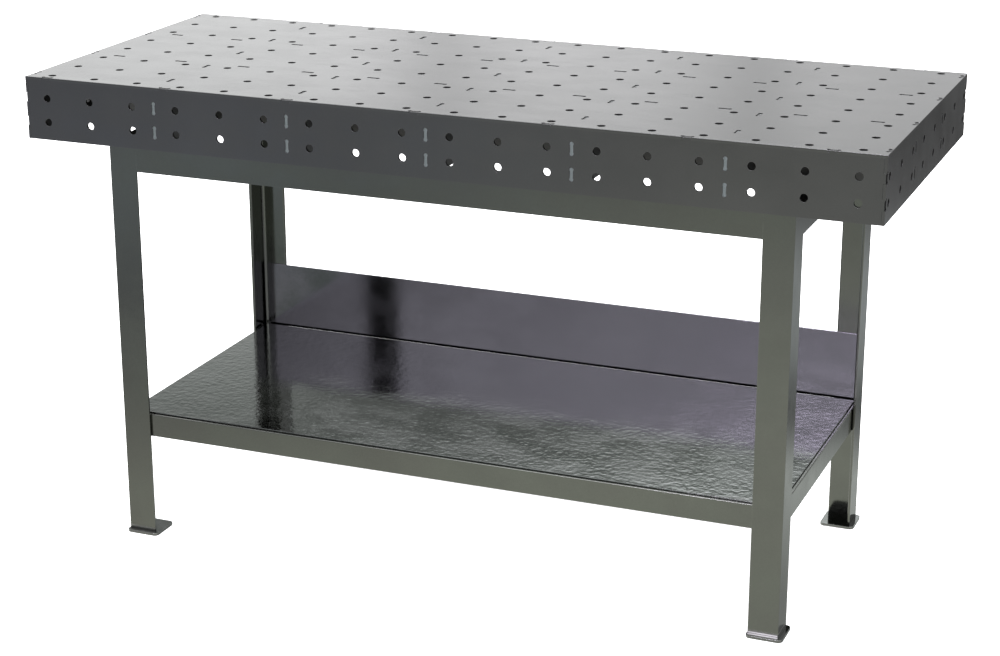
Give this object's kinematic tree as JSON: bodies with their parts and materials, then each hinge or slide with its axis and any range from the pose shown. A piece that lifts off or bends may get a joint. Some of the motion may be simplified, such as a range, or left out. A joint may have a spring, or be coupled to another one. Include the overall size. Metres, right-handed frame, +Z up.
{
  "type": "welding table",
  "caption": "Free-standing welding table with a perforated tab-and-slot steel top, angle-iron legs and rails, a low shelf and a back panel.",
  "frame": {"origin": "on the floor, under the middle of the top's outline", "axes": "+X along the table's length, -Y the front (the open side, opposite the back panel), +Z up"},
  "size_m": [1.8, 0.75, 1.008],
  "materials": {
    "top_steel": "satin ground top surface",
    "side_steel": "dark mill finish, satin",
    "frame_steel": "dark mill finish, semi-gloss",
    "shelf_steel": "glossy, finely dimpled",
    "panel_steel": "smooth, semi-gloss",
    "foot_steel": "smooth, glossy"
  },
  "bodies": {
    "root": {"top_plate": "top_steel", "front_skirt": "side_steel", "rear_skirt": "side_steel", "left_skirt": "side_steel", "right_skirt": "side_steel", "cross_rib_1": "side_steel", "cross_rib_2": "side_steel", "cross_rib_3": "side_steel", "cross_rib_4": "side_steel", "cross_rib_5": "side_steel", "long_rib_front": "side_steel", "long_rib_rear": "side_steel", "leg_front_left": "frame_steel", "foot_plate_front_left": "foot_steel", "leg_front_right": "frame_steel", "foot_plate_front_right": "foot_steel", "leg_rear_right": "frame_steel", "foot_plate_rear_right": "foot_steel", "leg_rear_left": "frame_steel", "foot_plate_rear_left": "foot_steel", "top_rail_front": "frame_steel", "shelf_rail_front": "frame_steel", "top_rail_right": "frame_steel", "shelf_rail_right": "frame_steel", "top_rail_rear": "frame_steel", "shelf_rail_rear": "frame_steel", "top_rail_left": "frame_steel", "shelf_rail_left": "frame_steel", "shelf_sheet": "shelf_steel", "back_panel": "panel_steel"}
  },
  "joints": []
}
